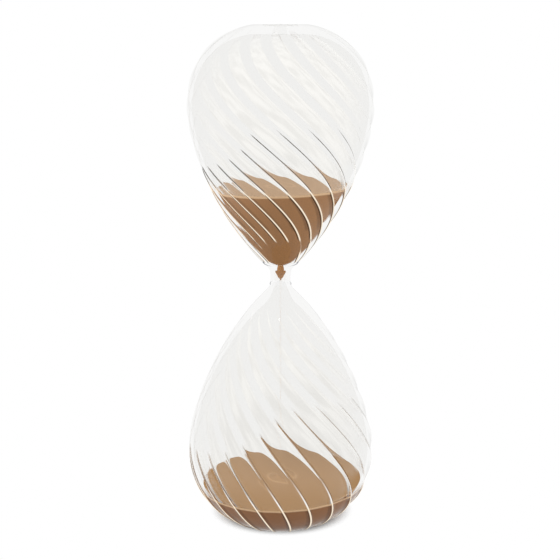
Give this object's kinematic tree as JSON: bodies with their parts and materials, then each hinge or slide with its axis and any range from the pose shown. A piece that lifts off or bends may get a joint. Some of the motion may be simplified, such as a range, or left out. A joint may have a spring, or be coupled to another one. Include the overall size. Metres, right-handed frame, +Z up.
{
  "type": "hourglass",
  "caption": "Free-standing sand hourglass: two blown glass bulbs with twisted ribs, a narrow metering throat between them, and sand running from the upper bulb to the lower.",
  "frame": {"origin": "centre of the flat glass base that the hourglass stands on", "axes": "+Z up along the axis of the glass, -Y to the front, +X to the right seen from the front"},
  "size_m": [0.0892, 0.0891, 0.24],
  "materials": {
    "ribbed_glass": "clear, fire polished, with twisted optic ribs",
    "tube_glass": "clear, drawn and fire polished",
    "sand": "fine matt warm brown sand",
    "falling_grains": "loose grains, paler where they spread"
  },
  "bodies": {
    "root": {"lower_bulb": "ribbed_glass", "upper_bulb": "ribbed_glass", "throat_tube": "tube_glass", "lower_weld": "tube_glass", "upper_weld": "tube_glass", "fill_seal": "tube_glass", "upper_sand": "sand", "chamber_sand": "sand", "falling_sand": "falling_grains", "lower_sand": "sand"}
  },
  "joints": []
}
